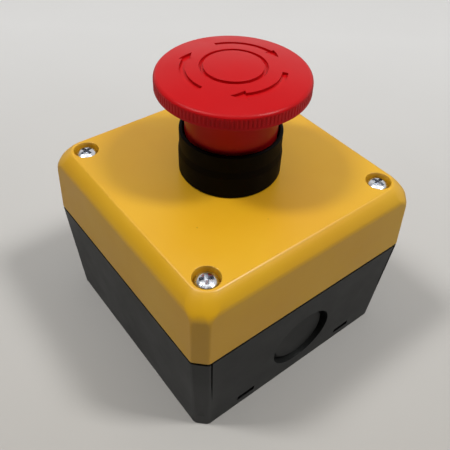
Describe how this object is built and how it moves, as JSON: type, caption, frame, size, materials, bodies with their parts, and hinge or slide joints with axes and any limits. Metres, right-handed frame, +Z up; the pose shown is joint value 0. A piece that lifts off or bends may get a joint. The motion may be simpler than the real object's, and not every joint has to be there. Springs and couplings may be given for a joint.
{
  "type": "emergency stop control station",
  "caption": "Surface-mount emergency stop station: red push-lock, turn-to-reset mushroom button on a yellow cover and a dark grey plastic base with a cable entry at each end",
  "frame": {"origin": "middle of the base's underside", "axes": "+Z up along the button's axis, +X out of the cable entry wall that the picture shows"},
  "size_m": [0.0766, 0.0766, 0.0888],
  "materials": {
    "yellow_plastic": "satin moulded",
    "grey_plastic": "satin moulded",
    "red_plastic": "satin moulded",
    "black_plastic": "satin moulded",
    "nylon": "moulded",
    "rubber": "moulded",
    "zinc": "bright zinc plated",
    "steel": "drawn wire or stamped",
    "brass": "turned or stamped"
  },
  "bodies": {
    "station": {"base": "grey_plastic", "cover": "yellow_plastic", "cover_gasket": "rubber", "cover_screw_1": "zinc", "cover_screw_2": "zinc", "cover_screw_3": "zinc", "cover_screw_4": "zinc", "boss_insert_1": "brass", "boss_insert_2": "brass", "boss_insert_3": "brass", "boss_insert_4": "brass", "operator_body": "black_plastic", "bezel_gasket": "rubber", "lock_plate": "steel", "fixing_nut": "black_plastic", "main_spring": "steel", "pawl_spring_1": "steel", "pawl_spring_2": "steel", "block_adaptor": "black_plastic", "contact_housing_a": "black_plastic", "contact_housing_b": "black_plastic", "contact_spring_a": "steel", "contact_spring_b": "steel", "contact_terminal_a1": "brass", "contact_terminal_a2": "brass", "contact_terminal_b1": "brass", "contact_terminal_b2": "brass", "terminal_screw_a1": "zinc", "terminal_screw_a2": "zinc", "terminal_screw_b1": "zinc", "terminal_screw_b2": "zinc"},
    "pusher_set": {"pusher": "nylon", "retaining_clip": "steel", "reset_spring": "steel"},
    "head_set": {"head": "red_plastic", "head_cap": "red_plastic", "head_screw": "zinc", "stem": "black_plastic"},
    "contact_a": {"contact_plunger_a": "nylon", "contact_bridge_a": "brass"},
    "contact_b": {"contact_plunger_b": "nylon", "contact_bridge_b": "brass"},
    "pawl_1": {"latch_pawl_1": "nylon"},
    "pawl_2": {"latch_pawl_2": "nylon"}
  },
  "joints": [
    {"name": "head_push", "type": "slide", "parent": "station", "child": "pusher_set", "axis": [0, 0, -1], "range_m": [0, 0.004], "stiffness_N_per_m": 2000, "springref_m": -0.006, "deforming": ["main_spring"]},
    {"name": "head_turn", "type": "hinge", "parent": "pusher_set", "child": "head_set", "pos_m": [0, 0, 0.086], "axis": [0, 0, -1], "range_deg": [0, 50], "stiffness_Nm_per_rad": 0.1, "springref_deg": -34.38},
    {"name": "contact_a_push", "type": "slide", "parent": "station", "child": "contact_a", "axis": [0, 0, -1], "range_m": [0, 0.004], "stiffness_N_per_m": 200, "springref_m": -0.004, "deforming": ["contact_spring_a"]},
    {"name": "contact_b_push", "type": "slide", "parent": "station", "child": "contact_b", "axis": [0, 0, -1], "range_m": [0, 0.004], "stiffness_N_per_m": 200, "springref_m": -0.004, "deforming": ["contact_spring_b"]},
    {"name": "pawl_1_slide", "type": "slide", "parent": "station", "child": "pawl_1", "axis": [-1, 0, 0], "range_m": [0, 0.0012], "stiffness_N_per_m": 20},
    {"name": "pawl_2_slide", "type": "slide", "parent": "station", "child": "pawl_2", "axis": [1, 0, 0], "range_m": [0, 0.0012], "stiffness_N_per_m": 20}
  ],
  "couplings": [
    {"joint": "contact_a_push", "follows": "head_push", "ratio": 1},
    {"joint": "contact_b_push", "follows": "head_push", "ratio": 1},
    {"joint": "pawl_2_slide", "follows": "pawl_1_slide", "ratio": 1}
  ]
}
